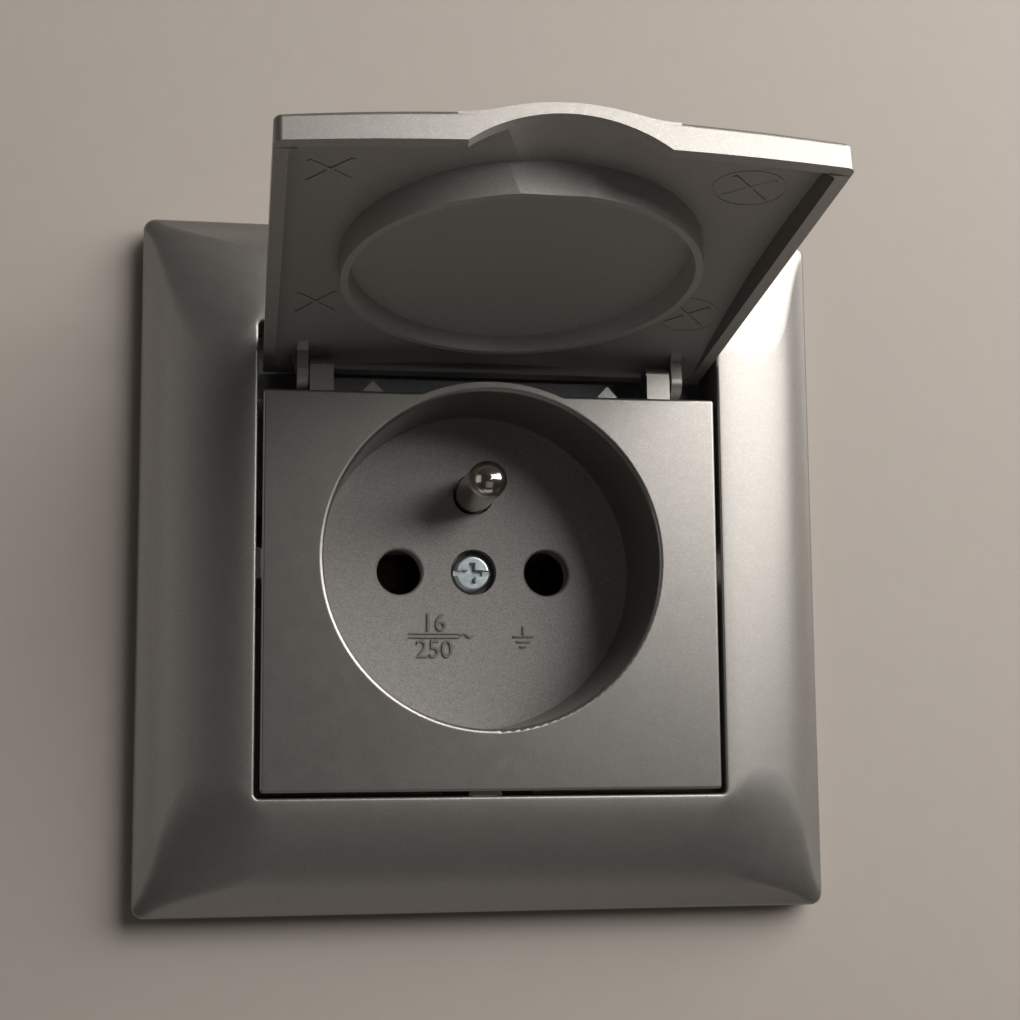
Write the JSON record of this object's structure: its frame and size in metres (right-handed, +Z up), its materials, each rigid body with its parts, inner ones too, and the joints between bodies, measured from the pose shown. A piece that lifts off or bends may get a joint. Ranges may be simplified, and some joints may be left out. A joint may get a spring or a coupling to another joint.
{
  "type": "earthed wall socket with lid",
  "caption": "Flush wall socket with a crowned square frame, a round recess with a standing earth pin, and a hinged lid that swings down over it.",
  "frame": {"origin": "on the socket's axis, in the wall plane, at the back of the mounting bridge", "axes": "+Z up, +Y into the wall, the front faces -Y, +X to the right as seen from the front"},
  "size_m": [0.083, 0.0847, 0.083],
  "materials": {
    "graphite_plastic": "satin graphite with a fine metallic fleck",
    "nickel_plate": "turned and nickel plated",
    "zinc_steel": "bright zinc plate, slightly blue",
    "spring_steel": "rolled strip",
    "brass": "stamped strip",
    "carrier_plastic": "moulded, fine grain"
  },
  "bodies": {
    "socket": {"frame": "graphite_plastic", "cover_plate": "graphite_plastic", "earth_pin": "nickel_plate", "cover_screw": "zinc_steel", "mounting_bridge": "zinc_steel", "bridge_screws": "zinc_steel", "rear_cover_screws": "zinc_steel", "terminal_screws": "zinc_steel", "line_contact_spring": "spring_steel", "neutral_contact_spring": "spring_steel", "cover_nut": "brass", "line_contact": "brass", "neutral_contact": "brass", "line_terminal": "brass", "neutral_terminal": "brass", "earth_terminal": "brass", "earth_strap": "brass", "socket_base": "carrier_plastic", "rear_cover": "carrier_plastic"},
    "lid": {"lid": "graphite_plastic"}
  },
  "joints": [
    {"name": "lid_hinge", "type": "hinge", "parent": "socket", "child": "lid", "pos_m": [0, -0.007, 0.0218], "axis": [1, 0, 0], "range_deg": [0, 99.5]}
  ]
}
